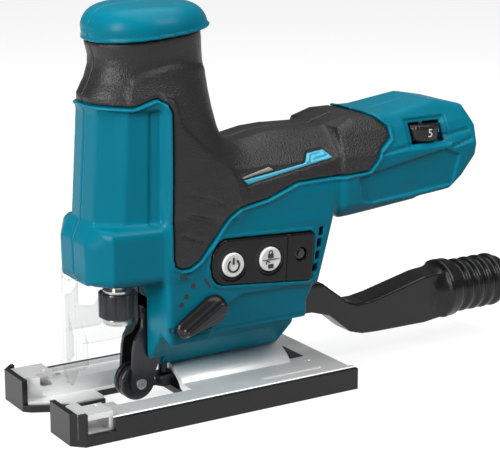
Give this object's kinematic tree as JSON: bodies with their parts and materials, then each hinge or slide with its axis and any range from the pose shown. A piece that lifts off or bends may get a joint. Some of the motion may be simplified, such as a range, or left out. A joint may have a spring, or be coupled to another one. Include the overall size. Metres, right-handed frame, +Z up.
{
  "type": "cordless jigsaw",
  "caption": "Barrel-grip cordless jigsaw with teal clamshell body, rubber grips, tilting metal shoe, clear blade guard, guide roller, push buttons and rear dust nozzle.",
  "frame": {"origin": "middle of the sole's underside", "axes": "+X is the cutting direction, towards the front of the tool; +Y the tool's left side; +Z up, away from the work"},
  "size_m": [0.2566, 0.077, 0.1785],
  "materials": {
    "teal_plastic": "fine moulded texture, satin",
    "grip_rubber": "speckled soft rubber",
    "black_plastic": "fine moulded texture",
    "white_plastic": "printed symbols",
    "clear_plastic": "clear moulded plastic",
    "board_green": "lacquered board",
    "cast_aluminium": "shot-blasted casting with machined faces",
    "plated_steel": "bright plated",
    "dark_steel": "black oxide",
    "cast_grey": "cast",
    "brass": "turned"
  },
  "bodies": {
    "housing": {"housing_left": "teal_plastic", "housing_right": "teal_plastic", "grip_left": "grip_rubber", "grip_right": "grip_rubber", "switch_panel": "black_plastic", "control_board": "board_green", "start_switch": "plated_steel", "lock_switch": "plated_steel", "terminal_block": "black_plastic", "contact_blades": "brass", "motor_stator": "cast_grey", "front_bearing": "plated_steel", "rear_bearing": "plated_steel", "gear_plate": "cast_aluminium", "gear_shaft": "plated_steel", "lower_bush": "brass", "upper_bush": "brass", "dial_spindle": "plated_steel", "retainer_pivot_pin": "plated_steel", "clamp_plate": "dark_steel", "clamp_bolt": "dark_steel", "dust_nozzle": "black_plastic", "housing_screws": "dark_steel"},
    "rotor": {"rotor_shaft": "plated_steel", "rotor_magnet": "dark_steel", "cooling_fan": "black_plastic", "drive_pinion": "plated_steel"},
    "crank_gear": {"reduction_gear": "dark_steel", "crank_pin": "plated_steel", "balance_weight": "cast_grey"},
    "plunger": {"plunger_rod": "plated_steel", "scotch_yoke": "cast_grey", "blade_holder": "plated_steel", "sleeve_ring": "plated_steel"},
    "blade_clamp": {"clamp_sleeve": "black_plastic"},
    "orbit_selector": {"orbit_lever": "black_plastic", "orbit_shaft": "cast_grey"},
    "orbit_fork": {"retainer": "dark_steel", "roller_pin": "plated_steel"},
    "guide_roller": {"roller": "dark_steel"},
    "base": {"shoe": "cast_aluminium", "sole_cover": "black_plastic"},
    "start_key": {"start_button": "white_plastic"},
    "lock_key": {"lock_button": "white_plastic"},
    "dial": {"speed_dial": "black_plastic"},
    "guard": {"blade_guard": "clear_plastic"}
  },
  "joints": [
    {"name": "shoe_bevel", "type": "hinge", "parent": "housing", "child": "base", "pos_m": [0, 0, 0], "axis": [1, 0, 0], "range_deg": [-45, 45]},
    {"name": "plunger_stroke", "type": "slide", "parent": "housing", "child": "plunger", "axis": [0, 0, 1], "range_m": [-0.005, 0.013]},
    {"name": "clamp_turn", "type": "hinge", "parent": "plunger", "child": "blade_clamp", "pos_m": [0.0325, 0, 0.047], "axis": [0, 0, 1], "range_deg": [0, 60], "stiffness_Nm_per_rad": 0.03},
    {"name": "gear_spin", "type": "hinge", "parent": "housing", "child": "crank_gear", "pos_m": [0.011, 0, 0.088], "axis": [1, 0, 0], "continuous": true},
    {"name": "rotor_spin", "type": "hinge", "parent": "housing", "child": "rotor", "pos_m": [-0.02, 0, 0.064], "axis": [1, 0, 0], "continuous": true},
    {"name": "orbit_select", "type": "hinge", "parent": "housing", "child": "orbit_selector", "pos_m": [0.0025, 0.02, 0.046], "axis": [0, -1, 0], "range_deg": [0, 78]},
    {"name": "orbit_rock", "type": "hinge", "parent": "housing", "child": "orbit_fork", "pos_m": [0.017, 0, 0.034], "axis": [0, -1, 0], "range_deg": [-1, 3], "stiffness_Nm_per_rad": 1.5},
    {"name": "roller_spin", "type": "hinge", "parent": "orbit_fork", "child": "guide_roller", "pos_m": [0.025, 0, 0.0105], "axis": [0, 1, 0], "continuous": true},
    {"name": "start_press", "type": "slide", "parent": "housing", "child": "start_key", "axis": [0, -1, 0], "range_m": [0, 0.0008], "stiffness_N_per_m": 900},
    {"name": "lock_press", "type": "slide", "parent": "housing", "child": "lock_key", "axis": [0, -1, 0], "range_m": [0, 0.0008], "stiffness_N_per_m": 900},
    {"name": "dial_turn", "type": "hinge", "parent": "housing", "child": "dial", "pos_m": [-0.118, 0.0173, 0.112], "axis": [0, 0, 1], "range_deg": [-150, 150]},
    {"name": "guard_lift", "type": "slide", "parent": "housing", "child": "guard", "axis": [0, 0, 1], "range_m": [0, 0.008]}
  ],
  "couplings": [
    {"joint": "gear_spin", "follows": "rotor_spin", "ratio": -0.23077}
  ]
}
